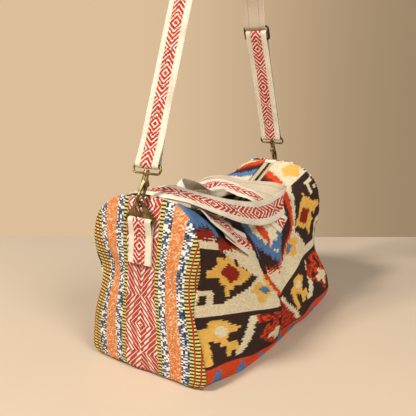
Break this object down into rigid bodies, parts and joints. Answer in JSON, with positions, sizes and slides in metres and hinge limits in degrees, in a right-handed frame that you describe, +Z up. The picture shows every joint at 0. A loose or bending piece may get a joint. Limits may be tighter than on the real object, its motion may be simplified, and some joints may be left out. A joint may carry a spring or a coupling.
{
  "type": "woven travel bag",
  "caption": "Soft woven weekend duffel with a zip top, looped carry handles and a detachable shoulder strap on swivel snap hooks.",
  "frame": {"origin": "on the floor under the middle of the bag", "axes": "+X along the bag towards its right end, -Y out of its front, +Z up"},
  "size_m": [0.5156, 0.3416, 0.79],
  "materials": {
    "kilim_cloth": "coarse woven",
    "striped_cloth": "coarse woven stripes",
    "webbing": "canvas with woven trim",
    "zip_tape": "twill tape",
    "brass": "antique satin",
    "dark_brass": "dark antique"
  },
  "bodies": {
    "bag": {"body_panel": "kilim_cloth", "zip_tape_front": "zip_tape", "zip_teeth_front": "brass", "zip_tape_back": "zip_tape", "zip_teeth_back": "brass", "front_handle": "webbing", "front_handle_anchor_left": "webbing", "front_handle_anchor_right": "webbing", "back_handle": "webbing", "back_handle_anchor_left": "webbing", "back_handle_anchor_right": "webbing", "left_end_panel": "striped_cloth", "left_tab": "webbing", "right_end_panel": "striped_cloth", "right_tab": "webbing"},
    "strap": {"shoulder_strap": "webbing", "strap_adjuster": "dark_brass", "left_swivel_loop": "brass", "right_swivel_loop": "brass"},
    "left_hook_body": {"left_hook": "brass", "left_gate_pin": "dark_brass"},
    "right_hook_body": {"right_hook": "brass", "right_gate_pin": "dark_brass"},
    "left_gate_body": {"left_hook_gate": "brass"},
    "right_gate_body": {"right_hook_gate": "brass"},
    "left_ring_body": {"left_triangle_ring": "brass"},
    "right_ring_body": {"right_triangle_ring": "brass"},
    "slider_body": {"zip_slider": "brass"},
    "pull_body": {"zip_pull": "brass"}
  },
  "joints": [
    {"name": "strap_swing", "type": "hinge", "parent": "bag", "child": "strap", "pos_m": [0, 0, 0.29368], "axis": [1, 0, 0], "range_deg": [-40, 40]},
    {"name": "left_hook_swivel", "type": "hinge", "parent": "strap", "child": "left_hook_body", "pos_m": [-0.24946, 0, 0.29368], "axis": [0.3584, 0, 0.9336], "range_deg": [-20, 20]},
    {"name": "left_gate_hinge", "type": "hinge", "parent": "left_hook_body", "child": "left_gate_body", "pos_m": [-0.23184, 0, 0.32452], "axis": [0, 1, 0], "range_deg": [0, 16], "stiffness_Nm_per_rad": 0.04, "springref_deg": -28.65},
    {"name": "left_ring_hinge", "type": "hinge", "parent": "bag", "child": "left_ring_body", "pos_m": [-0.2486, 0, 0.269], "axis": [0, 1, 0], "range_deg": [0, 4]},
    {"name": "right_hook_swivel", "type": "hinge", "parent": "strap", "child": "right_hook_body", "pos_m": [0.24946, 0, 0.29368], "axis": [-0.3584, 0, 0.9336], "range_deg": [-20, 20]},
    {"name": "right_gate_hinge", "type": "hinge", "parent": "right_hook_body", "child": "right_gate_body", "pos_m": [0.23184, 0, 0.32452], "axis": [0, -1, 0], "range_deg": [0, 16], "stiffness_Nm_per_rad": 0.04, "springref_deg": -28.65},
    {"name": "right_ring_hinge", "type": "hinge", "parent": "bag", "child": "right_ring_body", "pos_m": [0.2486, 0, 0.269], "axis": [0, -1, 0], "range_deg": [0, 4]},
    {"name": "zip_slide", "type": "slide", "parent": "bag", "child": "slider_body", "axis": [0.9087, 0, -0.4174], "range_m": [0, 0.087]},
    {"name": "pull_hinge", "type": "hinge", "parent": "slider_body", "child": "pull_body", "pos_m": [-0.20323, 0, 0.2949], "axis": [0, -1, 0], "range_deg": [0, 15]}
  ]
}
